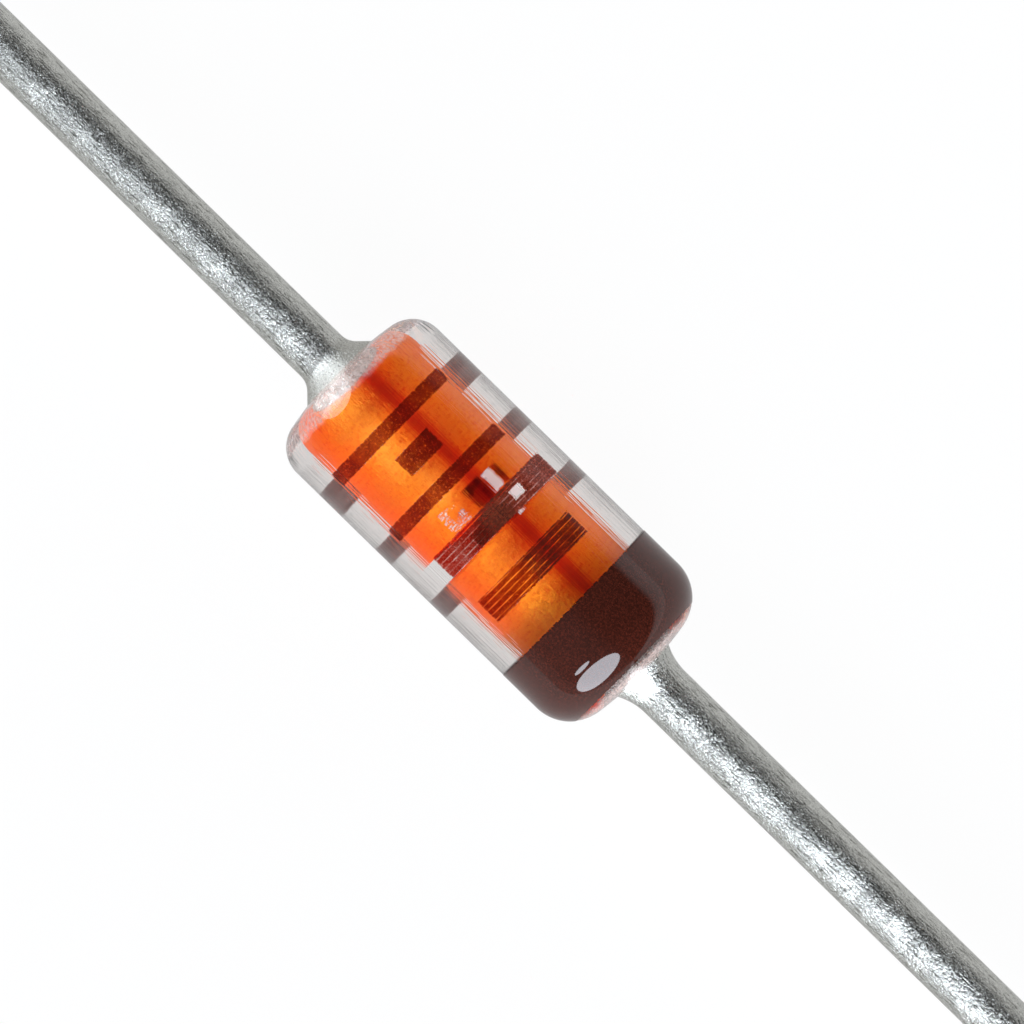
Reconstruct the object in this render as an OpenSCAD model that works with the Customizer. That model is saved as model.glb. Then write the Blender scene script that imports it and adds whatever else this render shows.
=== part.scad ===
// Small axial glass diode: a glass sleeve sealed on two copper-clad slugs, a silicon
// chip held between the slugs, and a straight tinned lead welded to each slug.
// Millimetres. The origin is the middle of the glass body. +X runs along the axis to
// the banded cathode end, and +Z is up, through the middle of the printed marks.

/* [Glass body] */
// Outer diameter of the glass sleeve
body_d = 1.85; // [1.5:0.05:2.3]
// Length of the glass, from the crown of one end face to the crown of the other
body_len = 3.94; // [3.4:0.02:4.6]
// Corner radius of the anode shoulder
anode_shoulder_r = 0.33; // [0.2:0.01:0.45]
// Corner radius of the cathode shoulder, which is drawn in further
cathode_shoulder_r = 0.44; // [0.2:0.01:0.45]
// Radius of the shallow dome on each end face
face_dome_r = 3.6; // [2:0.1:8]

/* [Slugs] */
// Diameter of the two slugs, and of the sleeve's bore on them
slug_d = 0.88; // [0.8:0.02:1]
// Depth of each slug's outer end below the crown of the end face
slug_inset = 0.3; // [0.15:0.01:0.4]
// Rounding of the anode slug's inner edge, which is cut nearly square
anode_slug_edge_r = 0.03; // [0.02:0.01:0.15]
// Rounding of the cathode slug's inner edge
cathode_slug_edge_r = 0.05; // [0.02:0.01:0.15]

/* [Chip] */
// Side of the square silicon chip
die_side = 0.42; // [0.3:0.02:0.48]
// Thickness of the chip, which stands on the cathode slug
die_t = 0.16; // [0.12:0.01:0.25]
// Diameter of the silver bump on the chip's anode side
bump_d = 0.26; // [0.15:0.01:0.3]
// Height of the bump, which meets the anode slug
bump_t = 0.05; // [0.03:0.01:0.1]

/* [Leads] */
// Diameter of both leads
lead_d = 0.53; // [0.46:0.01:0.56]
// Length of each lead outside the glass
lead_len = 26; // [20:0.5:38]
// Chamfer at the free end of each lead
lead_chamfer = 0.05; // [0.02:0.01:0.1]
// How much smaller in radius the anode lead's root is than its slug
anode_root_step = 0.02; // [0.01:0.005:0.1]
// Slope of the anode flare at the glass, degrees from the axis
anode_flare_angle = 45; // [20:1:55]
// Radius of the fillet that ends the anode flare
anode_flare_r = 0.2; // [0.05:0.01:0.25]
// How much smaller in radius the cathode lead's root is than its slug
cathode_root_step = 0.105; // [0.01:0.005:0.11]
// Slope of the cathode flare at the glass, degrees from the axis
cathode_flare_angle = 27; // [20:1:30]
// Radius of the fillet that ends the cathode flare
cathode_flare_r = 0.6; // [0.2:0.01:0.62]

/* [Paint] */
// Thickness of the painted band and of the printed marks
ink_t = 0.02; // [0.015:0.001:0.03]
// Width of the cathode band, measured from the crown of the end face
band_width = 0.91; // [0.6:0.01:1.1]
// Bare glass between the band's outer edge and the crown of the end face
band_rim = 0.12; // [0.08:0.01:0.2]
// Plain printed bars: where each begins and ends along the axis, and its two angles from +Z
marks = [[-1.34, -1.18, -50, 46], [-1.02, -0.79, -13, 13], [-0.62, -0.46, -50, 46], [-0.147, 0.113, -41, 54], [0.42, 0.695, -41, 37]]; // [from, to, from angle, to angle]
// Plain bars on the far side of the glass, given the same way
far_marks = [[-1.32, -1.02, 152, 208], [-0.59, -0.375, 152, 208], [0.113, 0.327, 152, 208]]; // [from, to, from angle, to angle]

/* [Hidden] */
$fn = 96;
half_len = body_len / 2;
body_r = body_d / 2;
slug_r = slug_d / 2;
lead_r = lead_d / 2;
slug_out = half_len - slug_inset;
gap = die_t + bump_t;
anode_root_r = slug_r - anode_root_step;
cathode_root_r = slug_r - cathode_root_step;
well_past = 1;
// How far a cut runs on past a domed face, and how far a tangent arc laps over the line
// it runs on from, so that the two always meet.
past_face = 0.1;
lap = 0.00005;

// Where the domed end face stands at a given radius.
function face_x(r) = half_len - face_dome_r + sqrt(face_dome_r * face_dome_r - r * r);
// Where the centre of a shoulder's corner arc stands, so that the arc runs on smoothly
// into the dome of the end face.
function corner_x(corner_r) = half_len - face_dome_r
    + sqrt(pow(face_dome_r - corner_r, 2) - pow(body_r - corner_r, 2));

// Every profile is drawn with the radius along the first axis and the length along the
// second, and is then turned about the length.
module turned() {
    rotate([0, 90, 0]) rotate_extrude() children();
}

// One half of the body's outline, from the middle to the end face, with a skin added.
module half_outline(corner_r, skin) {
    corner = [body_r - corner_r, corner_x(corner_r)];
    dome_x = half_len - face_dome_r;
    lean = corner[0] / (corner[1] - dome_x);
    square([body_r + skin, corner[1]]);
    intersection() {
        translate([corner[0], corner[1] + lap]) circle(corner_r + skin);
        translate([corner[0], 0]) square([corner_r + well_past, half_len + well_past]);
    }
    intersection() {
        translate([0, dome_x]) circle(face_dome_r + skin);
        polygon([
            [0, 0],
            [lean * (0 - dome_x), 0],
            [lean * (half_len + well_past - dome_x), half_len + well_past],
            [0, half_len + well_past]
        ]);
    }
}

module outline(skin) {
    half_outline(cathode_shoulder_r, skin);
    mirror([0, 1]) half_outline(anode_shoulder_r, skin);
}

// The tapered neck in the glass, from the slug's outer end to the lead's root, run on
// past the end face.
module neck(root_r) {
    taper = (slug_r - root_r) / (face_x(root_r) - slug_out);
    end_x = half_len + past_face;
    polygon([
        [0, slug_out],
        [slug_r, slug_out],
        [slug_r - taper * (end_x - slug_out), end_x],
        [0, end_x]
    ]);
}

// The room inside the glass: the bore that holds both slugs and the chip, and the neck
// by which each lead leaves it.
module inside() {
    translate([0, -slug_out]) square([slug_r, 2 * slug_out]);
    neck(cathode_root_r);
    mirror([0, 1]) neck(anode_root_r);
}

module slug_profile(edge_r) {
    translate([0, gap / 2]) square([slug_r - edge_r, slug_out - gap / 2]);
    translate([0, gap / 2 + edge_r]) square([slug_r, slug_out - gap / 2 - edge_r]);
    translate([slug_r - edge_r, gap / 2 + edge_r]) circle(edge_r);
}

// A lead with its root in the glass, its flare, its straight run and its cut end. The
// fillet is no larger than the step that it has to cover.
module lead_profile(root_r, flare_angle, flare_r) {
    root_x = face_x(root_r);
    step = root_r - lead_r;
    fillet_r = min(flare_r, step / (1 - cos(flare_angle)));
    fillet_rise = fillet_r * (1 - cos(flare_angle));
    cone_x = root_x + (step - fillet_rise) / tan(flare_angle);
    run_x = cone_x + fillet_r * sin(flare_angle);
    tip_x = half_len + lead_len;
    difference() {
        polygon([
            [0, slug_out],
            [slug_r, slug_out],
            [root_r, root_x],
            [lead_r + fillet_rise, cone_x],
            [lead_r + fillet_rise, run_x],
            [lead_r, run_x],
            [lead_r, tip_x - lead_chamfer],
            [lead_r - lead_chamfer, tip_x],
            [0, tip_x]
        ]);
        translate([lead_r + fillet_r - lap, run_x]) circle(fillet_r);
    }
}

// A thin patch of ink bent round the body, between two lengths and two angles from +Z.
module patch(from_x, to_x, from_angle, to_angle) {
    rotate([0, 90, 0])
        rotate([0, 0, 180 - to_angle])
            rotate_extrude(angle = to_angle - from_angle)
                translate([body_r, from_x]) square([ink_t, to_x - from_x]);
}

module glass_envelope() {
    color("#c9c8c4", 0.45) turned() difference() {
        outline(0);
        inside();
    }
}

module anode_slug() {
    color("#e8651b") turned() mirror([0, 1]) slug_profile(anode_slug_edge_r);
}

module cathode_slug() {
    color("#e8651b") turned() slug_profile(cathode_slug_edge_r);
}

module silicon_die() {
    color("#3f3d42") translate([gap / 2 - die_t, -die_side / 2, -die_side / 2]) cube([die_t, die_side, die_side]);
}

module silver_bump() {
    color("#cfcfcf") translate([-gap / 2, 0, 0]) rotate([0, 90, 0]) cylinder(d = bump_d, h = bump_t);
}

module anode_lead() {
    color("#b9bcb8") turned() mirror([0, 1]) lead_profile(anode_root_r, anode_flare_angle, anode_flare_r);
}

module cathode_lead() {
    color("#b9bcb8") turned() lead_profile(cathode_root_r, cathode_flare_angle, cathode_flare_r);
}

// The band is a skin on the straight glass and on round the shoulder, cut off square to
// the glass where the bare rim begins.
module cathode_band() {
    corner = [body_r - cathode_shoulder_r, corner_x(cathode_shoulder_r)];
    edge_angle = asin((half_len - band_rim - corner[1]) / cathode_shoulder_r);
    reach = body_r + well_past;
    color("#3a2622") turned() intersection() {
        difference() {
            half_outline(cathode_shoulder_r, ink_t);
            half_outline(cathode_shoulder_r, 0);
        }
        polygon([
            [corner[0], half_len - band_width],
            [reach, half_len - band_width],
            [reach, half_len],
            corner + reach * [cos(edge_angle), sin(edge_angle)],
            corner
        ]);
    }
}

module ink_marks() {
    color("#5a3026") for (m = concat(marks, far_marks)) patch(m[0], m[1], m[2], m[3]);
}

glass_envelope();
anode_slug();
cathode_slug();
silicon_die();
silver_bump();
anode_lead();
cathode_lead();
cathode_band();
ink_marks();
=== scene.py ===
import logging
import math
from dataclasses import dataclass, field
from enum import Enum

import bpy
from mathutils import Matrix, Vector


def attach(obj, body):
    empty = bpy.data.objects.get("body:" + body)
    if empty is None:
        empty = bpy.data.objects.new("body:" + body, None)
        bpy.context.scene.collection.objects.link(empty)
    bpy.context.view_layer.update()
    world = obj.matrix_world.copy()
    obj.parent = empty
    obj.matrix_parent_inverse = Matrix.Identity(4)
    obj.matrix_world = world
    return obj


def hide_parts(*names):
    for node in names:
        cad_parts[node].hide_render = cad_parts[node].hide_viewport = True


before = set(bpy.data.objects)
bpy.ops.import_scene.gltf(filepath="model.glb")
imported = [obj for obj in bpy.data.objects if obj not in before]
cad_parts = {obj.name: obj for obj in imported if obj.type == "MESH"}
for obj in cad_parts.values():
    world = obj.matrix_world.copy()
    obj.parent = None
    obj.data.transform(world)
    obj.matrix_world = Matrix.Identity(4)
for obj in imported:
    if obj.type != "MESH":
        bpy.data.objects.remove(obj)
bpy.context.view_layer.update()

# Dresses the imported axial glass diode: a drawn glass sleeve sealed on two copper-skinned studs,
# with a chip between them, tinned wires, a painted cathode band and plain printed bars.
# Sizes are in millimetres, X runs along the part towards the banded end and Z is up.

MM = 0.001  # one millimetre in the scene's metres
AROUND = 192  # facets round the axis of every turned piece
LAP = 0.0005  # gap or overlap that keeps two skins from lying in one place
STUD_RADIUS = 0.44  # of the two studs, and of the glass on them
CHIP_GAP = 0.105  # distance of each stud's inner face from the middle
EDGE_GAP = "edge_mm"  # attribute with the distance of a point from the edge of its skin, mm
log = logging.getLogger("diode")

Span = tuple[float, float]
Triple = tuple[float, float, float]
Quad = tuple[float, float, float, float]
Outline = list[Span]  # points as (x along the axis, radius)
Tree = bpy.types.NodeTree
Node = bpy.types.Node
Socket = bpy.types.NodeSocket
Material = bpy.types.Material
Piece = bpy.types.Object


# Tools for colour and nodes


def colour(code: str) -> Quad:
    """Turns an sRGB hex code into linear red, green and blue with a full alpha.

    Args:
        code: Six hex digits after a hash.

    Returns:
        The four linear values.
    """
    parts = [int(code[i : i + 2], 16) / 255 for i in (1, 3, 5)]
    red, green, blue = (c / 12.92 if c <= 0.04045 else ((c + 0.055) / 1.055) ** 2.4 for c in parts)
    return (red, green, blue, 1.0)


def grey(level: float) -> Quad:
    """Returns a linear grey of one level."""
    return (level, level, level, 1.0)


def feed(tree: Tree, node: Node, links: dict[str | int, Socket]) -> None:
    """Links output sockets to a node's inputs, which are given by name or number."""
    for key, socket in links.items():
        tree.links.new(socket, node.inputs[key])


def add_node(
    tree: Tree,
    kind: str,
    values: dict[str | int, object] | None = None,
    links: dict[str | int, Socket] | None = None,
    **settings: object,
) -> Node:
    """Adds one node with its settings, values and links.

    Args:
        tree: The node tree that gets the node.
        kind: The node's type name.
        values: Values by input name or number.
        links: Output sockets by the input name or number that they feed.
        **settings: The node's own properties, such as operation.

    Returns:
        The new node.
    """
    node = tree.nodes.new(kind)
    for name, value in settings.items():
        setattr(node, name, value)
    for key, value in (values or {}).items():
        node.inputs[key].default_value = value
    feed(tree, node, links or {})
    return node


def new_material(name: str, values: dict[str, object]) -> tuple[Material, Tree, Node, Socket]:
    """Starts a material with a Principled shader wired to its output.

    Args:
        name: The finish's plain name.
        values: The shader's even values by input name.

    Returns:
        The material, its tree, its Principled shader and the output's surface input.
    """
    material = bpy.data.materials.new(name)
    material.use_nodes = True
    tree = material.node_tree
    tree.nodes.clear()
    shader = add_node(tree, "ShaderNodeBsdfPrincipled", values)
    output = add_node(tree, "ShaderNodeOutputMaterial", links={"Surface": shader.outputs[0]})
    return material, tree, shader, output.inputs["Surface"]


def drawn_metal(name: str, drawn: float) -> tuple[Material, Tree, Node, Socket]:
    """Starts a bare metal that was drawn along X.

    Args:
        name: The finish's plain name.
        drawn: How far the draw lines stretch a reflection.

    Returns:
        What new_material returns.
    """
    start = new_material(name, {"Metallic": 1.0, "Anisotropic": drawn, "Anisotropic Rotation": 0.25})
    _, tree, shader, _ = start
    round_it = add_node(tree, "ShaderNodeTangent", direction_type="RADIAL", axis="X")
    feed(tree, shader, {"Tangent": round_it.outputs[0]})
    return start


def placed(tree: Tree, stretch: Triple = (1, 1, 1)) -> Socket:
    """Returns the object coordinates with each axis scaled, for patterns that run one way."""
    spots = add_node(tree, "ShaderNodeTexCoord").outputs["Object"]
    return add_node(tree, "ShaderNodeMapping", {"Scale": stretch}, {"Vector": spots}).outputs["Vector"]


def coordinate(tree: Tree, axis: int) -> Socket:
    """Returns one object coordinate in metres, counting the axes from X as 0."""
    return add_node(tree, "ShaderNodeSeparateXYZ", links={0: placed(tree)}).outputs[axis]


def edge_gap(tree: Tree) -> Socket:
    """Returns the distance from the edge of the skin, in millimetres."""
    return add_node(tree, "ShaderNodeAttribute", attribute_name=EDGE_GAP).outputs["Fac"]


def ray(tree: Tree, kind: str) -> Socket:
    """Returns 1 for rays of one kind, named as the Light Path node names it."""
    return add_node(tree, "ShaderNodeLightPath").outputs[kind]


def noise(
    tree: Tree, size_mm: float, stretch: Triple = (1, 1, 1), detail: float = 2.0, roughness: float = 0.5
) -> Socket:
    """Returns a grey noise with grains of a real size, drawn out along each axis that is scaled below 1."""
    values = {"Scale": 1.0 / (size_mm * MM), "Detail": detail, "Roughness": roughness}
    return add_node(tree, "ShaderNodeTexNoise", values, {"Vector": placed(tree, stretch)}).outputs["Fac"]


def ranged(source: Socket, low: float, high: float, to_low: float = 0.0, to_high: float = 1.0) -> Socket:
    """Maps a value smoothly and clamped, from low and high to the results for them.

    Args:
        source: The value.
        low: Start of the source range.
        high: End of the source range.
        to_low: Result at low.
        to_high: Result at high.

    Returns:
        The mapped value.
    """
    values = {"From Min": low, "From Max": high, "To Min": to_low, "To Max": to_high}
    node = add_node(source.id_data, "ShaderNodeMapRange", values, interpolation_type="SMOOTHSTEP")
    feed(source.id_data, node, {"Value": source})
    return node.outputs["Result"]


def combined(operation: str, *terms: Socket | float) -> Socket:
    """Combines values by arithmetic.

    Args:
        operation: Name of the Math operation.
        *terms: What it takes, in order: numbers, and one socket or more.

    Returns:
        The result.
    """
    sockets = {i: term for i, term in enumerate(terms) if isinstance(term, Socket)}
    numbers = {i: term for i, term in enumerate(terms) if i not in sockets}
    tree = next(iter(sockets.values())).id_data
    return add_node(tree, "ShaderNodeMath", numbers, sockets, operation=operation).outputs[0]


def swayed(pattern: Socket, reach: float) -> Socket:
    """Returns a pattern centred on zero, whose full range is the reach."""
    return combined("MULTIPLY", combined("SUBTRACT", pattern, 0.5), reach)


def distance(tree: Tree, axis: int, middle_mm: float) -> Socket:
    """Returns the distance in metres from a place on one axis, which is given in millimetres."""
    return combined("ABSOLUTE", combined("SUBTRACT", coordinate(tree, axis), middle_mm * MM))


def opened(cover: Socket, hole: Socket) -> Socket:
    """Returns a cover with holes in it, open where the hole is 1."""
    return combined("MULTIPLY", cover, combined("SUBTRACT", 1.0, hole))


def blended(share: Socket, first: str | Socket, second: str | Socket) -> Socket:
    """Mixes two colours by a pattern.

    Args:
        share: The pattern; 1 shows the second colour.
        first: Hex code or colour socket shown at 0.
        second: Hex code or colour socket shown at 1.

    Returns:
        The mixed colour.
    """
    node = add_node(share.id_data, "ShaderNodeMix", links={0: share}, data_type="RGBA")
    for number, tint in ((6, first), (7, second)):
        if isinstance(tint, str):
            node.inputs[number].default_value = colour(tint)
        else:
            feed(share.id_data, node, {number: tint})
    return node.outputs[2]


def layered(share: Socket, first: Socket, second: Socket) -> Socket:
    """Returns two shaders mixed by a share, which shows the first at 0 and the second at 1."""
    links = {0: share, 1: first, 2: second}
    return add_node(share.id_data, "ShaderNodeMixShader", links=links).outputs[0]


def bumped(height: Socket, depth_mm: float, under: Socket | None = None) -> Socket:
    """Returns a pattern as relief of a real depth, which may lie on the normal of another relief."""
    links = {"Height": height} if under is None else {"Height": height, "Normal": under}
    return add_node(height.id_data, "ShaderNodeBump", {"Distance": depth_mm * MM}, links).outputs["Normal"]


# Finishes


@dataclass(frozen=True)
class DrawnGlass:
    """Clear lead glass, drawn as tube and sealed by flame: bright and colourless, with faint lengthwise
    draw lines and, at each end, a milky skin where it wet the wire."""

    tint: str = "#f3eeec"
    index: float = 1.6
    line_mm: float = 0.03  # width of one draw line
    line_depth: float = 0.004
    wave_mm: float = 0.5
    wave_depth: float = 0.006
    polished: Span = (-1.62, -1.5)  # where the flame smoothed the lines away and where it didn't
    milk: str = "#dec6bc"
    milk_anode: Span = (-1.7, -1.77)  # where the milky skin starts and where it is full
    milk_cathode: Span = (1.84, 1.9)
    milk_shares: Span = (0.46, 0.5)  # how much of each end's skin is milk
    milk_lines: Span = (0.7, 1.3)  # how far the draw lines thin and thicken it
    milk_ragged: float = 0.1  # how far its edge wanders, and the size of its tongues
    lamp_pass: float = 0.6  # lamplight that reaches the studs straight through, besides what it bends in

    def material(self) -> Material:
        """Returns the glass material."""
        clear = {"Transmission Weight": 1.0, "Roughness": 0.0, "IOR": self.index}
        clear["Base Color"] = colour(self.tint)
        material, tree, shader, surface = new_material("sealing glass, tube drawn", clear)
        lines = noise(tree, self.line_mm, (0.03, 1, 1))
        waves = noise(tree, self.wave_mm, (0.5, 1, 1), 1.0)
        along = coordinate(tree, 0)
        ridged = combined("MULTIPLY", lines, ranged(along, *(x * MM for x in self.polished)))
        relief = bumped(ridged, self.line_depth)
        feed(tree, shader, {"Normal": bumped(waves, self.wave_depth, relief)})
        brush = noise(tree, self.milk_ragged, (0.35, 1, 1), 3.0, 0.65)
        ragged = combined("ADD", along, swayed(brush, self.milk_ragged * MM))
        ends = zip((self.milk_anode, self.milk_cathode), self.milk_shares)
        skins = [ranged(ragged, start * MM, full * MM, 0.0, share) for (start, full), share in ends]
        milky = combined("MAXIMUM", *skins)
        milky = combined("MULTIPLY", milky, ranged(lines, 0.35, 0.65, *self.milk_lines))
        coated = {"Coat Weight": 1.0, "Coat IOR": self.index, "Coat Roughness": 0.0}
        matt = {"Base Color": colour(self.milk), "Roughness": 0.5, "Specular IOR Level": 0.0}
        skin = add_node(tree, "ShaderNodeBsdfPrincipled", matt | coated)
        glass = layered(milky, shader.outputs[0], skin.outputs[0])
        passing = add_node(tree, "ShaderNodeBsdfTransparent", {"Color": grey(self.lamp_pass)})
        tree.links.new(layered(ray(tree, "Is Shadow Ray"), glass, passing.outputs[0]), surface)
        return material


@dataclass(frozen=True)
class OxidisedCopper:
    """Copper skin on an iron-nickel stud, drawn, then borated and oxidised for sealing: orange metal under
    a deep red film, so it glows orange where it mirrors light and falls to blood red where it doesn't."""

    metal: str = "#ffc22e"
    worn: str = "#ffca42"
    fleck: str = "#b8440c"
    film: str = "#f6160a"
    film_share: float = 0.56
    painted_dark_band: Span = (0.142, 0.105)  # painted reflection of the dark surroundings, a darker red band along the stud: its middle and half width on Y
    # colour of the film in the painted dark band
    painted_dark_band_film: str = "#bc1a0c"
    painted_dark_band_share: float = 0.79  # film's share in the middle of that painted band
    painted_dark_band_darkening: float = 0.7  # how far the painted band darkens the metal under the film
    grain_mm: float = 0.02  # drawn as coarse as it needs to show
    grain_depth: float = 0.008
    patch_mm: float = 0.35
    roughness: Span = (0.4, 0.5)
    drawn: float = 0.85  # how far the draw lines stretch a reflection

    def material(self) -> Material:
        """Returns the stud material."""
        material, tree, shader, surface = drawn_metal("oxidised copper, drawn and borated", self.drawn)
        speck = noise(tree, self.grain_mm, (0.6, 1, 1), 2.0, 0.7)
        cloud = noise(tree, self.patch_mm, (0.6, 1, 1))
        tone = blended(ranged(cloud, 0.35, 0.7), self.metal, self.worn)
        tone = blended(ranged(speck, 0.45, 0.75, 0.0, 0.5), tone, self.fleck)
        # painted shade: a dark reflection band fixed on +Y of the stud, with darker metal under a redder film
        middle, half = self.painted_dark_band
        inside = ranged(distance(tree, 1, middle), 0.0, half * MM, 1.0, 0.0)
        tone = blended(combined("MULTIPLY", inside, self.painted_dark_band_darkening), tone, self.fleck)
        rough = ranged(speck, 0.3, 0.7, *self.roughness)
        relief = bumped(speck, self.grain_depth)
        feed(tree, shader, {"Base Color": tone, "Roughness": rough, "Normal": relief})
        red = blended(inside, self.film, self.painted_dark_band_film)
        film = add_node(tree, "ShaderNodeBsdfDiffuse", links={"Color": red})
        share = ranged(inside, 0.0, 1.0, self.film_share, self.painted_dark_band_share)
        tree.links.new(layered(share, shader.outputs[0], film.outputs[0]), surface)
        return material


@dataclass(frozen=True)
class HotDippedTin:
    """Tin-coated steel wire, hot dipped after drawing: silver-grey with lengthwise draw lines, pooled
    brighter spots where the tin ran, and a greyer, duller stretch at the anode wire's root near the glass."""

    metal: str = "#e8e9e4"
    dull: str = "#74746d"
    dull_stretch_tone: str = "#c8c6be"
    dull_stretch: Span = (-2.25, -2.02)  # from where to where the wire grows greyer and duller, along the part
    dull_stretch_share: float = 0.7
    dull_stretch_roughness: float = 0.09  # what the dull stretch adds
    line_mm: float = 0.018
    line_depth: float = 0.006
    speck_mm: float = 0.016
    speck_depth: float = 0.009
    pool_mm: float = 0.35
    pool_depth: float = 0.045
    roughness: Span = (0.18, 0.3)
    drawn: float = 0.5  # how far the draw lines stretch a reflection

    def material(self) -> Material:
        """Returns the wire material."""
        material, tree, shader, _ = drawn_metal("tin on steel wire, hot dipped", self.drawn)
        lines = noise(tree, self.line_mm, (0.12, 1, 1), 3.0, 0.7)
        specks = noise(tree, self.speck_mm, (0.5, 1, 1), 2.0, 0.6)
        pools = noise(tree, self.pool_mm, (0.7, 1, 1))
        along = coordinate(tree, 0)
        # greyer and rougher towards the anode wire's root, on the anode half only
        near = ranged(along, *(x * MM for x in self.dull_stretch), 0.0, self.dull_stretch_share)
        anode_half = ranged(along, -1.0 * MM, 1.0 * MM, 1.0, 0.0)
        dull_stretch = combined("MULTIPLY", near, anode_half)
        tone = blended(ranged(lines, 0.5, 0.7), self.metal, self.dull)
        tone = blended(dull_stretch, tone, self.dull_stretch_tone)
        satin = ranged(specks, 0.3, 0.7, *self.roughness)
        rough = combined("MULTIPLY_ADD", dull_stretch, self.dull_stretch_roughness, satin)
        relief = bumped(pools, self.pool_depth)
        relief = bumped(lines, self.line_depth, relief)
        relief = bumped(specks, self.speck_depth, relief)
        feed(tree, shader, {"Base Color": tone, "Roughness": rough, "Normal": relief})
        return material


@dataclass(frozen=True)
class PrintedInk:
    """Baked epoxy marking ink, rolled on thin: chocolate brown, glossy, speckled with pinholes that let the
    orange stud glow through, and stained dark red where light passes it."""

    name: str
    pigment: str = "#421d13"
    warm: str = "#662c1c"
    stain: str = "#c6938e"  # what one face of the skin lets through
    body: float = 0.22  # share of light that the pigment itself stops and gives back
    pinhole_mm: float = 0.022  # drawn as coarse as it needs to show
    pinholes: float = 0.5  # how far a pinhole clears the ink
    patch_mm: float = 0.16
    ragged_mm: float = 0.02  # how far the edge wanders
    gloss: float = 0.04
    index: float = 1.62
    thinned: float = 0.0  # how much of its body the ink loses towards -Y
    thinning: Span = (-0.13, 0.03)  # where along Y it is thinnest and where still full
    streak_mm: float = 0.0  # spacing of roller lines round the glass, 0 for none
    drift_mm: float = 0.5  # length over which the lines drift sideways
    fade_mm: float = 0.09  # length over which a line fades in and out
    comb: float = 0.95  # how far the clearest roller line opens the ink
    flake: tuple[Span, Span] | None = None  # where ink is off: from and to along X, then along Y
    torn_mm: float = 0.05  # how far the flake's edge wanders

    def material(self) -> Material:
        """Returns the ink material."""
        pigment = {"Roughness": 0.6, "Specular IOR Level": 0.02}
        coat = {"Coat Weight": 1.0, "Coat Roughness": self.gloss, "Coat IOR": self.index}
        material, tree, shader, surface = new_material(self.name, pigment | coat)
        speck = noise(tree, self.pinhole_mm, roughness=0.75)
        tone = blended(ranged(speck, 0.35, 0.75), self.pigment, self.warm)
        feed(tree, shader, {"Base Color": tone})
        cover = self.cover(tree, speck)
        if self.streak_mm:
            cover = opened(cover, self.streaks(tree))
        if self.flake:
            cover = opened(cover, self.flaked(tree, speck, self.flake))
        stain = blended(cover, "#ffffff", self.stain)
        veil = add_node(tree, "ShaderNodeBsdfTransparent", links={0: stain})
        thinnest, full = (y * MM for y in self.thinning)
        body = ranged(coordinate(tree, 1), thinnest, full, self.body * (1.0 - self.thinned), self.body)
        solid = combined("MULTIPLY", cover, body)
        tree.links.new(layered(solid, veil.outputs[0], shader.outputs[0]), surface)
        return material

    def cover(self, tree: Tree, speck: Socket) -> Socket:
        """Makes the pattern of how far the ink covers, with its ragged edge, its patches and its pinholes.

        Args:
            tree: The material's tree.
            speck: The pattern of the pinholes.

        Returns:
            The cover, 1 where it is full.
        """
        rim = combined("ADD", edge_gap(tree), swayed(speck, -2 * self.ragged_mm))
        patches = ranged(noise(tree, self.patch_mm), 0.35, 0.65, 1.0 - self.pinholes * 0.4, 1.0)
        cover = combined("MULTIPLY", ranged(rim, 0.0, 0.012), patches)
        return combined("MULTIPLY", cover, ranged(speck, 0.52, 0.7, 1.0, 1.0 - self.pinholes))

    def streaks(self, tree: Tree) -> Socket:
        """Makes the lines that the roller left open in the ink: even, drifting, and fading in and out.

        Args:
            tree: The material's tree.

        Returns:
            How far the ink is open, at most the comb's share.
        """
        drift = combined("MULTIPLY", noise(tree, self.drift_mm, (1, 0.4, 0.4)), 3.0)
        pace = 2 * math.pi / (self.streak_mm * MM)
        lines = combined("SINE", combined("MULTIPLY_ADD", coordinate(tree, 0), pace, drift))
        fades = noise(tree, self.fade_mm, (1.5, 0.5, 0.5))
        fade = ranged(fades, 0.38, 0.62, self.comb * 0.37, self.comb)
        return combined("MULTIPLY", ranged(lines, 0.6, 0.97), fade)

    def flaked(self, tree: Tree, speck: Socket, flake: tuple[Span, Span]) -> Socket:
        """Makes the shape of the spot where a flake of ink is off.

        Args:
            tree: The material's tree.
            speck: The pattern that tears the flake's edge.
            flake: Where it is: from and to along X, then along Y.

        Returns:
            The shape, 1 where the ink is off.
        """
        torn, soft = swayed(speck, self.torn_mm * MM), 0.006
        sides = []
        for axis, (start, stop) in enumerate(flake):
            off = combined("ADD", distance(tree, axis, (start + stop) / 2), torn)
            half = (stop - start) / 2
            sides.append(ranged(off, (half + soft) * MM, (half - soft) * MM))
        return combined("MULTIPLY", *sides)


@dataclass(frozen=True)
class DicedSilicon:
    """Diced silicon with a fired-on contact layer: warm grey and satin, with fine saw marks on its sides."""

    dark: str = "#9c8278"
    pale: str = "#c4aa9e"
    saw_mm: float = 0.012
    saw_depth: float = 0.002
    roughness: float = 0.45

    def material(self) -> Material:
        """Returns the chip material."""
        metal = {"Metallic": 1.0, "Roughness": self.roughness}
        material, tree, shader, _ = new_material("silicon, diced and metallised", metal)
        saw = noise(tree, self.saw_mm, (0.2, 1, 1))
        tone = blended(ranged(saw, 0.35, 0.65), self.dark, self.pale)
        feed(tree, shader, {"Base Color": tone, "Normal": bumped(saw, self.saw_depth)})
        return material


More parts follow.
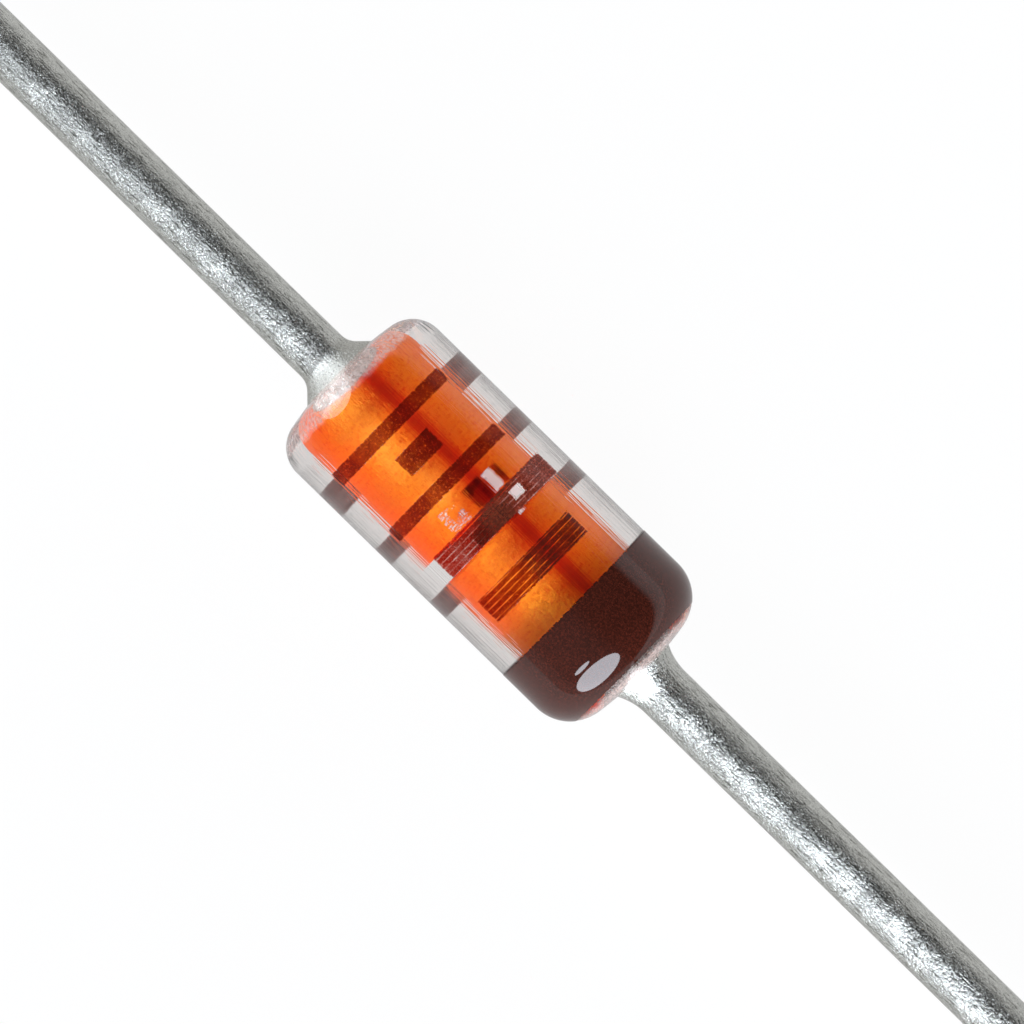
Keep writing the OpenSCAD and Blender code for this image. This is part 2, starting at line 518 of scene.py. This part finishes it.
@dataclass(frozen=True)
class PlatedSilver:
    """Silver, plated as a contact bump: pale, satin and grainy."""

    pale: str = "#e6e3dd"
    dull: str = "#c9c4bb"
    grain_mm: float = 0.015
    grain_depth: float = 0.003
    roughness: float = 0.35

    def material(self) -> Material:
        """Returns the bump material."""
        metal = {"Metallic": 1.0, "Roughness": self.roughness}
        material, tree, shader, _ = new_material("silver, plated", metal)
        grains = noise(tree, self.grain_mm)
        tone = blended(ranged(grains, 0.35, 0.65), self.pale, self.dull)
        feed(tree, shader, {"Base Color": tone, "Normal": bumped(grains, self.grain_depth)})
        return material


@dataclass(frozen=True)
class PaintedGlint:
    """Painted glint inside the glass: a silver-white leaf where a flat gas bubble in the seal would mirror
    the lamps.
    """

    # white of the painted glint
    leaf: str = "#f2f0ee"
    ragged_mm: float = 0.05  # how far the edge wanders, and the size of its bays
    sparkled: bool = False  # painted sparkles of pinpoint glints instead of one leaf
    sparkle_mm: float = 0.022
    drift_mm: float = 0.12  # size of the painted sparkles' thick and thin patches

    def material(self) -> Material:
        """Returns the painted glint's material."""
        white = {"Base Color": colour(self.leaf), "Roughness": 0.3}
        material, tree, shader, surface = new_material("painted glint in the seal", white)
        uneven = swayed(noise(tree, self.ragged_mm, (0.4, 1, 1)), self.ragged_mm)
        shown = ranged(combined("ADD", edge_gap(tree), uneven), 0.0, 0.008)
        if self.sparkled:
            sparkles = ranged(noise(tree, self.sparkle_mm, roughness=0.7), 0.5, 0.6)
            drift = ranged(noise(tree, self.drift_mm, detail=1.0), 0.42, 0.58)
            shown = combined("MULTIPLY", shown, combined("MULTIPLY", sparkles, drift))
        clear = add_node(tree, "ShaderNodeBsdfTransparent")
        tree.links.new(layered(shown, clear.outputs[0], shader.outputs[0]), surface)
        return material


@dataclass(frozen=True)
class PaintedBarShadow:
    """Painted shadow of the dense bar on the stud: a see-through crimson skin over the orange metal."""

    crimson: str = "#eacde7"  # what each of the skin's four crossings lets through
    core: str = "#d2c2d8"
    cloud_mm: float = 0.12
    fade_mm: float = 0.025  # width over which its edge fades out

    def material(self) -> Material:
        """Returns the painted shadow's material."""
        material, tree, _, surface = new_material("painted shadow of a bar on the stud", {})
        cloud = noise(tree, self.cloud_mm)
        depth = blended(ranged(cloud, 0.45, 0.62), self.crimson, self.core)
        stain = blended(ranged(edge_gap(tree), 0.0, self.fade_mm), "#ffffff", depth)
        veil = add_node(tree, "ShaderNodeBsdfTransparent", links={0: stain})
        tree.links.new(veil.outputs[0], surface)
        return material


@dataclass(frozen=True)
class StudioPaper:
    """White paper sweep: matt white that still takes the part's soft shadow."""

    pale: str = "#ececec"
    dull: str = "#e9e9e9"
    fibre_mm: float = 0.6
    shown: float = 0.96  # how much of the plain white the eye gets, the rest being the paper's own shading
    mirrored: float = 0.55  # brightness in reflections
    through: float = 0.8  # brightness through glass

    def material(self) -> Material:
        """Returns the floor material."""
        matt = {"Roughness": 0.9, "Specular IOR Level": 0.1}
        material, tree, shader, surface = new_material("white paper sweep", matt)
        fibres = ranged(noise(tree, self.fibre_mm), 0.3, 0.7)
        feed(tree, shader, {"Base Color": blended(fibres, self.dull, self.pale)})
        kinds = {
            "Is Camera Ray": (self.shown, 1.0),
            "Is Glossy Ray": (1.0, self.mirrored),
            "Is Transmission Ray": (1.0, self.through),
        }
        share = strength = 0.0
        for kind, (part, level) in kinds.items():
            chosen = ray(tree, kind)
            share = combined("MAXIMUM", share, combined("MULTIPLY", chosen, part))
            strength = combined("MAXIMUM", strength, combined("MULTIPLY", chosen, level))
        white = add_node(tree, "ShaderNodeEmission", {"Color": grey(1.0)}, {"Strength": strength})
        tree.links.new(layered(share, shader.outputs[0], white.outputs[0]), surface)
        return material


# Tools for shapes


class Side(Enum):
    """The two ends of the part, by the way each faces along X."""

    ANODE = -1
    CATHODE = 1


def arc(centre: Span, radius: float, start: float, end: float, steps: int) -> Outline:
    """Returns the points of an arc, whose angles are in degrees from +X towards growing radius."""
    angles = [math.radians(start + (end - start) * i / steps) for i in range(steps + 1)]
    return [(centre[0] + radius * math.cos(a), max(0.0, centre[1] + radius * math.sin(a))) for a in angles]


def run(start: float, end: float, radius: float, pitch: float) -> Outline:
    """Returns evenly spaced points along a straight cylinder, no further apart than the pitch."""
    count = max(1, math.ceil(abs(end - start) / pitch))
    return [(start + (end - start) * i / count, radius) for i in range(count + 1)]


def tidied(outline: Outline) -> Outline:
    """Drops points that lie on the one before them.

    Args:
        outline: The points.

    Returns:
        The points that stay.
    """
    kept = [outline[0]]
    for point in outline[1:]:
        if math.dist(point, kept[-1]) > 1e-6:
            kept.append(point)
    return kept


def mirrored(outline: Outline) -> Outline:
    """Returns an outline for the other end of the part, still running towards +X."""
    return [(-x, radius) for x, radius in reversed(outline)]


@dataclass
class Shell:
    """Points in millimetres and faces, gathered before they become one mesh."""

    points: list[Triple] = field(default_factory=list)
    faces: list[tuple[int, ...]] = field(default_factory=list)
    edge_gaps: list[float] = field(default_factory=list)  # each point's distance from the skin's edge

    def turn(
        self, outline: Outline, looped: bool = False, hollow: bool = False, gaps: list[float] | None = None
    ) -> None:
        """Turns an outline round the X axis and adds the result.

        Args:
            outline: Points with x growing along the outside.
            looped: True where the outline closes on itself and makes a ring.
            hollow: True for the wall of a void, whose faces look into the void.
            gaps: Distance of each point from the skin's edge.
        """
        rings: list[list[int]] = []
        for number, (x, radius) in enumerate(outline):
            count = 1 if radius < 1e-7 else AROUND
            first = len(self.points)
            for step in range(count):
                angle = 2 * math.pi * step / AROUND
                self.points.append((x, radius * math.sin(angle), radius * math.cos(angle)))
                if gaps is not None:
                    self.edge_gaps.append(gaps[number])
            rings.append(list(range(first, first + count)))
        following = rings[1:] + (rings[:1] if looped else [])
        for near, far in zip(rings, following):
            for step in range(AROUND):
                after = step + 1
                corners = ((near, step), (far, step), (far, after), (near, after))
                face = tuple(dict.fromkeys(ring[place % len(ring)] for ring, place in corners))
                if len(face) > 2:
                    self.faces.append(face[::-1] if hollow else face)

    def piece(self, name: str, material: Material, crease: float = 35.0) -> Piece:
        """Makes the gathered faces one object at the origin.

        Args:
            name: The piece's name.
            material: Its finish.
            crease: Angle in degrees past which an edge stays sharp.

        Returns:
            The new object.
        """
        mesh = bpy.data.meshes.new(name)
        mesh.from_pydata([(x * MM, y * MM, z * MM) for x, y, z in self.points], [], self.faces)
        mesh.polygons.foreach_set("use_smooth", [True] * len(mesh.polygons))
        if self.edge_gaps:
            kept = mesh.attributes.new(EDGE_GAP, "FLOAT", "POINT")
            kept.data.foreach_set("value", self.edge_gaps)
        mesh.materials.append(material)
        mesh.update()
        mesh.set_sharp_from_angle(angle=math.radians(crease))
        made = bpy.data.objects.new(name, mesh)
        bpy.context.scene.collection.objects.link(made)
        return made


def turned(name: str, outline: Outline, material: Material, side: Side = Side.CATHODE) -> Piece:
    """Turns one outline into a solid piece.

    Args:
        name: The piece's name.
        outline: Points from axis to axis, going outward along the cathode end.
        material: Its finish.
        side: The end that it belongs to; the anode's pieces are mirrored.

    Returns:
        The finished piece.
    """
    shell = Shell()
    shell.turn(tidied(mirrored(outline) if side is Side.ANODE else outline))
    return shell.piece(name, material)


def settle(piece: Piece, slot: str, *nodes: str) -> None:
    """Fixes a piece to the part, logs it and hides the solids that it stands for.

    Args:
        piece: The finished object.
        slot: The record's material slot; not used.
        *nodes: Names of the solids, none for a detail of the scene's own.
    """
    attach(piece, "root")
    if nodes:
        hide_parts(*nodes)
    stands_for = ", ".join(nodes) or "itself"
    log.info("%s: %d faces, stands for %s", piece.name, len(piece.data.polygons), stands_for)


# The part


@dataclass(frozen=True)
class EndForm:
    """How the glass draws in at one end, and how the stud and the wire there are formed."""

    side: Side
    shoulder: float  # radius of the rounded shoulder
    root: float  # radius of the wire where it leaves the glass
    flare_angle: float  # steepness of the flare at its root, degrees
    flare: float  # radius of the curve from flare to wire
    stud_edge: float  # rounding of the stud's inner edge

    def named(self, thing: str) -> str:
        """Returns the name of a thing at this end."""
        return f"{self.side.name.lower()}_{thing}"


@dataclass
class GlassSleeve:
    """The glass body with its two drawn-in ends and the gas pocket round the chip."""

    radius: float = 0.925
    half: float = 1.97
    dome: float = 3.6
    bore: float = STUD_RADIUS
    pocket: Span = (-0.13, 0.112)
    finish: DrawnGlass = DrawnGlass()

    def shoulder_centre(self, end: EndForm) -> Span:
        """Returns the distance along the axis and the radius at which the shoulder's arc has its centre."""
        out = self.radius - end.shoulder
        along = self.half - self.dome + math.sqrt((self.dome - end.shoulder) ** 2 - out**2)
        return along, out

    def face_at(self, radius: float) -> float:
        """Returns how far out the domed end face lies at a radius."""
        return self.half - self.dome + math.sqrt(self.dome**2 - radius**2)

    def end_outline(self, end: EndForm) -> Outline:
        """Draws the outline from the straight wall over the shoulder to the middle of the end face.

        Args:
            end: The end, of which only the form counts and not the side.

        Returns:
            The outline, going outward.
        """
        along, out = self.shoulder_centre(end)
        meet = math.degrees(math.asin(out / (self.dome - end.shoulder)))
        shoulder = arc((along, out), end.shoulder, 90, meet, 22)
        face = arc((self.half - self.dome, 0.0), self.dome, meet, 0, 10)
        return tidied(shoulder + face[:-1] + [(self.half, 0.0)])

    def build(self, ends: tuple[EndForm, EndForm]) -> Piece:
        """Builds and dresses the sleeve.

        Args:
            ends: The anode end and the cathode end.

        Returns:
            The finished piece.
        """
        left = mirrored(self.end_outline(ends[0]))
        right = self.end_outline(ends[1])
        wall = run(left[-1][0], right[0][0], self.radius, 0.05)
        start, stop = self.pocket
        pocket = [(start, 0.0)] + run(start, stop, self.bore - LAP, 0.05) + [(stop, 0.0)]
        shell = Shell()
        shell.turn(tidied(left + wall + right))
        shell.turn(pocket, hollow=True)
        return shell.piece("glass_sleeve", self.finish.material())


@dataclass
class SealStud:
    """One copper-skinned stud that the glass is sealed on."""

    end: EndForm
    radius: float = STUD_RADIUS
    inner: float = CHIP_GAP
    outer: float = 1.67

    def build(self, material: Material) -> Piece:
        """Builds the stud.

        Args:
            material: Its finish.

        Returns:
            The finished piece.
        """
        edge = self.end.stud_edge
        outline = [(self.inner, 0.0)] + arc((self.inner + edge, self.radius - edge), edge, 180, 90, 10)
        outline += run(self.inner + edge, self.outer, self.radius, 0.1) + [(self.outer, 0.0)]
        return turned(self.end.named("seal_stud"), outline, material, self.end.side)


@dataclass
class TinnedLead:
    """One wire with its flared weld at the glass."""

    end: EndForm
    radius: float = 0.265
    tip: float = 27.97
    chamfer: float = 0.05
    seat: float = 1.66  # where its neck meets the stud inside the glass
    neck: float = STUD_RADIUS - 0.0015

    def build(self, sleeve: GlassSleeve, material: Material) -> Piece:
        """Builds the wire.

        Args:
            sleeve: The glass that it comes out of.
            material: Its finish.

        Returns:
            The finished piece.
        """
        end = self.end
        face = sleeve.face_at(end.root)
        flare_end = self.flare_end(face)
        outline = [(self.seat, 0.0), (self.seat, self.neck), (face, end.root)]
        outline += arc((flare_end, self.radius + end.flare), end.flare, 270 - end.flare_angle, 270, 16)
        outline += run(flare_end, self.tip - self.chamfer, self.radius, 0.25)
        outline += [(self.tip, self.radius - self.chamfer), (self.tip, 0.0)]
        return turned(end.named("tinned_wire"), outline, material, end.side)

    def flare_end(self, face: float) -> float:
        """Returns where the flare that starts at the glass face ends and the straight wire starts."""
        slope = math.radians(self.end.flare_angle)
        drop = self.end.root - self.radius - self.end.flare * (1 - math.cos(slope))
        return face + drop / math.tan(slope) + self.end.flare * math.sin(slope)


@dataclass
class ChipStack:
    """The chip, which stands on the cathode stud, and the silver bump on it."""

    chip: float = 0.42
    chip_from: float = -0.055
    chip_to: float = CHIP_GAP
    bevel: float = 0.012
    bump: float = 0.13  # radius
    bump_from: float = -CHIP_GAP
    bump_edge: float = 0.03  # rounding of the bump's rim

    def build(self) -> tuple[Piece, Piece]:
        """Builds and dresses the chip and its bump.

        Returns:
            The chip and the bump.
        """
        half, cut = self.chip / 2, self.bevel
        rings = (
            (self.chip_from, half - cut),
            (self.chip_from + cut, half),
            (self.chip_to - cut, half),
            (self.chip_to, half - cut),
        )
        shell = Shell()
        for x, reach in rings:
            shell.points += [(x, -reach, -reach), (x, reach, -reach), (x, reach, reach), (x, -reach, reach)]
        for ring in range(len(rings) - 1):
            for corner in range(4):
                a, b = ring * 4 + corner, ring * 4 + (corner + 1) % 4
                shell.faces.append((a + 4, b + 4, b, a))
        shell.faces += [(0, 1, 2, 3), (15, 14, 13, 12)]
        chip = shell.piece("silicon_chip", DicedSilicon().material(), 20.0)
        edge = self.bump_edge
        outline = [(self.bump_from, 0.0)] + arc((self.bump_from + edge, self.bump - edge), edge, 180, 90, 8)
        outline += [(self.chip_from, self.bump), (self.chip_from, 0.0)]
        return chip, turned("silver_contact_bump", outline, PlatedSilver().material())


@dataclass
class CathodeBand:
    """The painted ring that marks the cathode end."""

    start: float = 1.06
    skin: float = 0.004
    lip: float = 39.0  # where the paint stops on the shoulder, degrees up from the axis
    finish: PrintedInk = PrintedInk(
        "band ink, rolled epoxy", "#33120a", "#501f14", body=0.97, pinholes=0.0, ragged_mm=0.035
    )

    def build(self, sleeve: GlassSleeve, end: EndForm) -> Piece:
        """Builds and dresses the band.

        Args:
            sleeve: The glass that it is painted on.
            end: The cathode end.

        Returns:
            The finished piece.
        """
        along, out = sleeve.shoulder_centre(end)
        outside = run(self.start, along, sleeve.radius + self.skin, 0.02)
        outside += arc((along, out), end.shoulder + self.skin, 90, self.lip, 24)[1:]
        inside = arc((along, out), end.shoulder + LAP, self.lip, 90, 24)
        inside += run(along, self.start, sleeve.radius + LAP, 0.02)[1:]
        shell = Shell()
        shell.turn(outside + inside, looped=True, gaps=self.gaps(outside) + self.gaps(inside))
        return shell.piece("painted_cathode_band", self.finish.material())

    def gaps(self, outline: Outline) -> list[float]:
        """Measures along the skin.

        Args:
            outline: One face of the skin, from edge to edge.

        Returns:
            Each point's distance from the nearer edge.
        """
        steps = [0.0]
        for before, after in zip(outline, outline[1:]):
            steps.append(steps[-1] + math.dist(before, after))
        return [min(s, steps[-1] - s) for s in steps]


@dataclass
class WrappedPatches:
    """Thin oblong skins wrapped round a cylinder, made by one rule for all of them."""

    rows: int = 12
    columns: int = 48
    inputs: tuple[str, ...] = ("From X", "To X", "From Angle", "To Angle", "Radius", "Skin")

    def rule(self) -> bpy.types.GeometryNodeTree:
        """Builds the node tree that wraps one patch onto a cylinder.

        Returns:
            The tree.
        """
        tree = bpy.data.node_groups.new("patch wrapped on a cylinder", "GeometryNodeTree")
        tree.interface.new_socket("Geometry", in_out="OUTPUT", socket_type="NodeSocketGeometry")
        for name in self.inputs:
            tree.interface.new_socket(name, in_out="INPUT", socket_type="NodeSocketFloat")
        tree.interface.new_socket("Finish", in_out="INPUT", socket_type="NodeSocketMaterial")
        given = add_node(tree, "NodeGroupInput").outputs
        cells = {"Vertices X": self.rows + 1, "Vertices Y": self.columns + 1}
        grid = add_node(tree, "GeometryNodeMeshGrid", {"Size X": 1.0, "Size Y": 1.0} | cells)
        flat = add_node(tree, "GeometryNodeInputPosition").outputs[0]
        spot = add_node(tree, "ShaderNodeSeparateXYZ", links={0: flat}).outputs

        def between(axis: int, low: Socket, high: Socket) -> Socket:
            """Maps one side of the flat grid to a range, and returns it."""
            reach = {"From Min": -0.5, "From Max": 0.5}
            links = {"Value": spot[axis], "To Min": low, "To Max": high}
            return add_node(tree, "ShaderNodeMapRange", reach, links).outputs["Result"]

        along = between(0, given["From X"], given["To X"])
        angle = between(1, given["From Angle"], given["To Angle"])
        across = combined("MULTIPLY", combined("SINE", angle), given["Radius"])
        above = combined("MULTIPLY", combined("COSINE", angle), given["Radius"])
        place = add_node(tree, "ShaderNodeCombineXYZ", links={0: along, 1: across, 2: above})
        width = combined("SUBTRACT", given["To X"], given["From X"])
        turn = combined("SUBTRACT", given["To Angle"], given["From Angle"])
        length = combined("MULTIPLY", turn, given["Radius"])
        nearest = []
        for axis, size in ((0, width), (1, length)):
            off = combined("ABSOLUTE", spot[axis])
            nearest.append(combined("MULTIPLY", combined("SUBTRACT", 0.5, off), size))
        gap = combined("MULTIPLY", combined("MINIMUM", *nearest), 1 / MM)
        marked = add_node(
            tree,
            "GeometryNodeStoreNamedAttribute",
            {"Name": EDGE_GAP},
            {"Geometry": grid.outputs["Mesh"], "Value": gap},
            data_type="FLOAT",
            domain="POINT",
        )
        bent = {"Geometry": marked.outputs[0], "Position": place.outputs[0]}
        wrapped = add_node(tree, "GeometryNodeSetPosition", links=bent).outputs[0]
        thick = {"Mesh": wrapped, "Offset Scale": given["Skin"]}
        raised = add_node(tree, "GeometryNodeExtrudeMesh", {"Individual": False}, thick)
        back = add_node(tree, "GeometryNodeFlipFaces", links={0: wrapped})
        both = add_node(tree, "GeometryNodeJoinGeometry")
        for part in (back.outputs[0], raised.outputs["Mesh"]):
            tree.links.new(part, both.inputs[0])
        merged = add_node(tree, "GeometryNodeMergeByDistance", {"Distance": 1e-7}, {0: both.outputs[0]})
        smooth = add_node(tree, "GeometryNodeSetShadeSmooth", links={0: merged.outputs[0]})
        dressed = {"Geometry": smooth.outputs[0], "Material": given["Finish"]}
        inked = add_node(tree, "GeometryNodeSetMaterial", links=dressed)
        add_node(tree, "NodeGroupOutput", links={0: inked.outputs[0]})
        return tree

    def wrap(
        self, name: str, places: tuple[Quad, ...], finishes: list[Material], radius: float, skin: float
    ) -> Piece:
        """Wraps every patch and joins them.

        Args:
            name: The piece's name.
            places: First and last x and first and last angle of each patch, from straight up towards +Y.
            finishes: The finish of each patch.
            radius: Radius that the skins lie on.
            skin: Their thickness.

        Returns:
            The finished piece.
        """
        tree = self.rule()
        sockets = {item.name: item.identifier for item in tree.interface.items_tree if item.in_out == "INPUT"}
        made: list[Piece] = []
        for number, ((start, stop, low, high), finish) in enumerate(zip(places, finishes)):
            patch = bpy.data.objects.new(f"{name}_{number}", bpy.data.meshes.new(f"{name}_{number}"))
            bpy.context.scene.collection.objects.link(patch)
            modifier = patch.modifiers.new("wrap", "NODES")
            modifier.node_group = tree
            turns = (math.radians(low), math.radians(high))
            values = (start * MM, stop * MM, *turns, radius * MM, skin * MM)
            for socket, value in zip(self.inputs, values):
                modifier[sockets[socket]] = value
            modifier[sockets["Finish"]] = finish
            graph = bpy.context.evaluated_depsgraph_get()
            mesh = bpy.data.meshes.new_from_object(patch.evaluated_get(graph), depsgraph=graph)
            patch.modifiers.clear()
            patch.data = mesh
            made.append(patch)
        first = made[0]
        with bpy.context.temp_override(
            object=first, active_object=first, selected_objects=made, selected_editable_objects=made
        ):
            bpy.ops.object.join()
        first.name = first.data.name = name
        return first


class BarInk(Enum):
    """The inks of the printed bars, by how each was laid and how much of it shows."""

    PLAIN = PrintedInk("bar ink, pad printed")
    DENSE = PrintedInk(
        "bar ink, combed and dense",
        "#54261c",
        "#96482e",
        "#e04c22",
        body=0.7,
        thinned=0.72,
        streak_mm=0.055,
        comb=0.6,
        flake=((-0.078, 0.029), (0.305, 0.43)),
    )
    COMBED = PrintedInk("bar ink, combed", body=0.45, thinned=0.85, streak_mm=0.055)
    FAR = PrintedInk("bar ink, far side", "#4a2a24", "#806460", "#b88c86", body=0.34, pinholes=0.7)


@dataclass
class PrintedBars:
    """Plain bars printed round the glass, in place of any lettering."""

    bars: tuple[tuple[Quad, BarInk], ...] = (
        ((-1.34, -1.18, -50, 46), BarInk.PLAIN),
        ((-1.02, -0.79, -13, 13), BarInk.PLAIN),
        ((-0.62, -0.46, -50, 46), BarInk.PLAIN),
        ((-0.147, 0.118, -41, 54), BarInk.DENSE),
        ((0.42, 0.695, -41, 37), BarInk.COMBED),
        ((-1.32, -1.02, 152, 208), BarInk.FAR),
        ((-0.59, -0.375, 152, 208), BarInk.FAR),
        ((0.113, 0.327, 152, 208), BarInk.FAR),
    )
    skin: float = 0.004

    def build(self, sleeve: GlassSleeve) -> Piece:
        """Builds and dresses all the bars as one piece.

        Args:
            sleeve: The glass that they are printed on.

        Returns:
            The finished piece.
        """
        inks = {ink: ink.value.material() for ink in BarInk}
        places = tuple(place for place, _ in self.bars)
        finishes = [inks[ink] for _, ink in self.bars]
        return WrappedPatches().wrap("printed_bars", places, finishes, sleeve.radius + LAP, self.skin - LAP)


@dataclass
class PaintedSealGlints:
    """Painted glints next to the chip: white leaves where flat gas bubbles trapped on the studs would mirror
    the lamps, and a patch of painted sparkles.
    """

    leaves: tuple[Quad, ...] = ((-0.367, -0.15, 25, 37), (-0.09, 0.02, 33, 47), (0.03, 0.15, 25, 31))
    # place of the patch of painted sparkles
    sparkles: Quad = (-0.385, -0.15, -33, -9)
    above: float = STUD_RADIUS + 0.0005
    thick: float = 0.003

    def build(self) -> Piece:
        """Builds and dresses the painted glints, and returns them as one piece."""
        leaf, sparkles = PaintedGlint().material(), PaintedGlint(sparkled=True).material()
        finishes = [leaf] * len(self.leaves) + [sparkles]
        places = (*self.leaves, self.sparkles)
        return WrappedPatches(8, 8).wrap("painted_seal_glints", places, finishes, self.above, self.thick)


@dataclass
class PaintedBarShadows:
    """Painted crimson shadows of the dense bar, on the anode stud next to the chip."""

    places: tuple[Quad, ...] = ((-0.395, -0.135, 1, 24), (-0.37, -0.14, 38, 47))
    above: float = STUD_RADIUS + 0.0002
    thick: float = 0.0002

    def build(self) -> Piece:
        """Builds and dresses the painted shadows, and returns them as one piece."""
        finishes = [PaintedBarShadow().material()] * len(self.places)
        return WrappedPatches(8, 8).wrap("painted_bar_shadows", self.places, finishes, self.above, self.thick)


# The studio


@dataclass(frozen=True)
class SoftBox:
    """One soft oval lamp."""

    name: str
    direction: Triple  # from the part towards the lamp
    long_way: Triple  # the way that its length runs
    length: float
    width: float
    level: float  # brightness against white paper
    tint: str = "#eef5ff"
    mirrored: bool = True  # False for a fill that lights the matt parts but shows in no reflection
    matt: bool = True  # False for a card that shows in reflections but lights no matt part
    distance: float = 150.0

    def build(self) -> None:
        """Hangs the lamp, facing the part."""
        data = bpy.data.lights.new(self.name, "AREA")
        data.shape, data.size, data.size_y = "ELLIPSE", self.length * MM, self.width * MM
        data.energy = self.level * math.pi * math.pi / 4 * self.length * self.width * MM * MM
        data.color = colour(self.tint)[:3]
        lamp = bpy.data.objects.new(self.name, data)
        back = Vector(self.direction).normalized()
        side = Vector(self.long_way)
        side = (side - back * side.dot(back)).normalized()
        turn = Matrix((side, back.cross(side), back)).transposed().to_4x4()
        lamp.matrix_world = Matrix.Translation(back * self.distance * MM) @ turn
        lamp.visible_camera = False
        lamp.visible_glossy = self.mirrored
        lamp.visible_diffuse = self.matt
        lamp.visible_transmission = self.mirrored and self.matt
        bpy.context.scene.collection.objects.link(lamp)


@dataclass
class Studio:
    """Floor, surroundings, lamps and camera."""

    floor_at: float = -0.946
    floor_reach: float = 1500.0
    boxes: tuple[SoftBox, ...] = (
        SoftBox("cathode_side_box", (0.676, -0.545, 0.497), (-0.149, -0.763, -0.629), 165, 130, 7.6),
        SoftBox("anode_side_box", (-0.84, -0.352, 0.412), (0.545, -0.203, 0.814), 170, 100, 3.6),
        SoftBox("anode_side_card", (-0.84, -0.352, 0.412), (0.545, -0.203, 0.814), 150, 85, 7.5, matt=False),
        SoftBox("cathode_side_strip", (0.153, -0.733, 0.663), (-0.03, -0.67, -0.74), 65, 22, 8.0),
        SoftBox("far_side_fill", (0.0, 0.97, 0.24), (1.0, 0.0, 0.0), 160, 60, 7.5, mirrored=False),
    )
    # Brightness of the surroundings by the angle round the part's axis, in degrees from up towards -Y
    surround: tuple[Span, ...] = (
        (-180, 0.78), (-105, 0.76), (-85, 0.76), (-74, 0.62), (-62, 0.03), (-6, 0.03), (25, 0.12), (65, 0.13),
        (85, 0.26), (105, 0.45), (180, 0.6),
    )
    frame_width: float = 9.4  # across the view at the part's axis
    lens: float = 300.0
    sensor: float = 36.0
    roll: float = 44.35  # how far the part lies turned in the view, degrees
    offset: Span = (0.1935, 0.090)  # view's middle against the body's, right and up

    def build(self) -> None:
        """Sets up everything round the part."""
        self.floor()
        self.world()
        for box in self.boxes:
            box.build()
        self.camera()
        bpy.context.scene.view_settings.view_transform = "Standard"
        bpy.context.scene.cycles.blur_glossy = 0.0  # keeps the glass as clear for lamplight as for the eye

    def floor(self) -> None:
        """Lays the floor under the body."""
        mesh = bpy.data.meshes.new("floor")
        reach, level = self.floor_reach * MM, self.floor_at * MM
        corners = ((-reach, -reach), (reach, -reach), (reach, reach), (-reach, reach))
        mesh.from_pydata([(x, y, level) for x, y in corners], [], [(0, 1, 2, 3)])
        mesh.materials.append(StudioPaper().material())
        floor = bpy.data.objects.new("floor", mesh)
        bpy.context.scene.collection.objects.link(floor)

    def world(self) -> None:
        """Makes the surroundings: white to the eye, and banded light along the part for its reflections."""
        world = bpy.data.worlds.new("studio")
        bpy.context.scene.world = world
        world.use_nodes = True
        tree = world.node_tree
        tree.nodes.clear()
        way = add_node(tree, "ShaderNodeTexCoord")
        axes = add_node(tree, "ShaderNodeSeparateXYZ", links={0: way.outputs["Generated"]})
        down = combined("MULTIPLY", axes.outputs[1], -1.0)
        turn = combined("ARCTAN2", down, axes.outputs[2])
        circle = {"From Min": -math.pi, "From Max": math.pi}
        share = add_node(tree, "ShaderNodeMapRange", circle, {"Value": turn})
        ramp = add_node(tree, "ShaderNodeValToRGB", links={0: share.outputs["Result"]})
        ramp.color_ramp.interpolation = "EASE"
        stops = ramp.color_ramp.elements
        stops.remove(stops[-1])
        stops[0].color = grey(self.surround[0][1])
        for angle, level in self.surround[1:]:
            stops.new((angle + 180) / 360).color = grey(level)
        light = add_node(tree, "ShaderNodeBackground", links={"Color": ramp.outputs[0]})
        white = add_node(tree, "ShaderNodeBackground", {"Color": grey(1.0), "Strength": 1.0})
        seen = layered(ray(tree, "Is Camera Ray"), light.outputs[0], white.outputs[0])
        add_node(tree, "ShaderNodeOutputWorld", links={0: seen})

    def camera(self) -> None:
        """Sets the camera over the part, with the banded end to the lower right."""
        data = bpy.data.cameras.new("camera")
        data.lens, data.sensor_width = self.lens, self.sensor
        data.clip_start, data.clip_end = 0.001, 10.0
        camera = bpy.data.objects.new("camera", data)
        turn = math.radians(self.roll)
        right = Vector((math.cos(turn), math.sin(turn), 0))
        up = Vector((-math.sin(turn), math.cos(turn), 0))
        height = Vector((0, 0, self.frame_width * self.lens / self.sensor))
        camera.location = (right * self.offset[0] + up * self.offset[1] + height) * MM
        camera.rotation_euler = (0, 0, turn)
        bpy.context.scene.collection.objects.link(camera)
        bpy.context.scene.camera = camera


def main() -> None:
    """Builds the part piece by piece, then the studio."""
    logging.basicConfig(level=logging.INFO, format="%(message)s")
    anode = EndForm(Side.ANODE, shoulder=0.33, root=0.42, flare_angle=45.0, flare=0.2, stud_edge=0.03)
    cathode = EndForm(Side.CATHODE, shoulder=0.44, root=0.335, flare_angle=27.0, flare=0.6, stud_edge=0.05)
    sleeve = GlassSleeve()
    settle(sleeve.build((anode, cathode)), "clear_glass", "glass_envelope")
    copper = OxidisedCopper().material()
    tin = HotDippedTin().material()
    for end in (anode, cathode):
        settle(SealStud(end).build(copper), "slug_copper", end.named("slug"))
        settle(TinnedLead(end).build(sleeve, tin), "tinned_wire", end.named("lead"))
    chip, bump = ChipStack().build()
    settle(chip, "silicon", "silicon_die")
    settle(bump, "silver", "silver_bump")
    settle(CathodeBand().build(sleeve, cathode), "band_ink", "cathode_band")
    settle(PrintedBars().build(sleeve), "mark_ink", "ink_marks")
    settle(PaintedSealGlints().build(), "clear_glass")
    settle(PaintedBarShadows().build(), "slug_copper")
    Studio().build()


if __name__ == "__main__":
    main()
